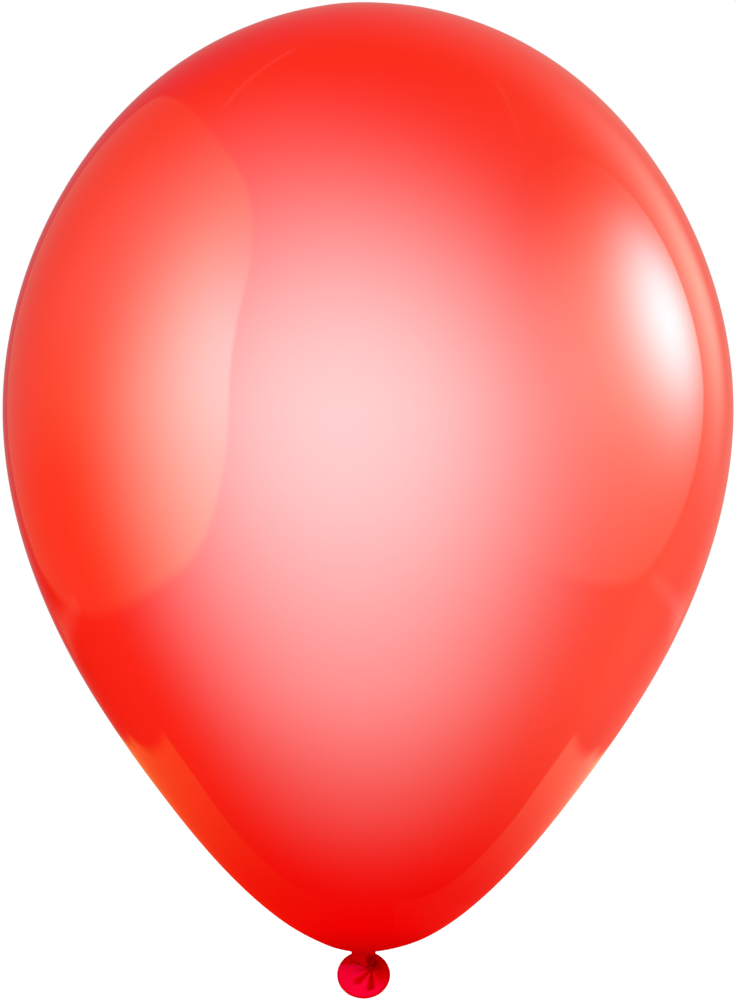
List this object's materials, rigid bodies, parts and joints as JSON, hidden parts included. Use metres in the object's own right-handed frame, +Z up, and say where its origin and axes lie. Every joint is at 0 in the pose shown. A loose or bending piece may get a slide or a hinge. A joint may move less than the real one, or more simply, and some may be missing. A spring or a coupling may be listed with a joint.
{
  "type": "latex balloon",
  "caption": "Round-crowned latex party balloon, blown up and tied, with a knotted neck and a short flared tail that ends in a rolled lip.",
  "frame": {"origin": "middle of the neck where it passes through the bulb's foot, the place where a ribbon is tied", "axes": "+Z up from the knot to the crown, -Y towards the front, +X to the right seen from the front"},
  "size_m": [0.28, 0.28, 0.3818],
  "materials": {
    "latex_film": "stretched glossy red latex film, faintly translucent, paler where it is thinnest",
    "latex_gathered": "gathered and knotted red latex, satin gloss, deep colour",
    "latex_tail": "unstretched red latex film with soft pleats, satin gloss",
    "latex_lip": "rolled bead of red latex, glossy, the deepest red"
  },
  "bodies": {
    "bulb": {"envelope": "latex_film"},
    "neck": {"neck": "latex_gathered"},
    "knot": {"knot_core": "latex_gathered", "knot_loop": "latex_gathered"},
    "tail": {"tail_skirt": "latex_tail", "rolled_lip": "latex_lip"}
  },
  "joints": [
    {"name": "neck_swing", "type": "hinge", "parent": "bulb", "child": "neck", "pos_m": [0, 0, 0.0005], "axis": [0, 1, 0], "range_deg": [-15, 15], "stiffness_Nm_per_rad": 0.00005},
    {"name": "knot_twist", "type": "hinge", "parent": "neck", "child": "knot", "pos_m": [0, 0, 0], "axis": [0, 0, 1], "range_deg": [-180, 180], "stiffness_Nm_per_rad": 0.00005},
    {"name": "tail_flop", "type": "hinge", "parent": "knot", "child": "tail", "pos_m": [0, 0, -0.0058], "axis": [-1, 0, 0], "range_deg": [0, 120], "stiffness_Nm_per_rad": 0.00005}
  ]
}
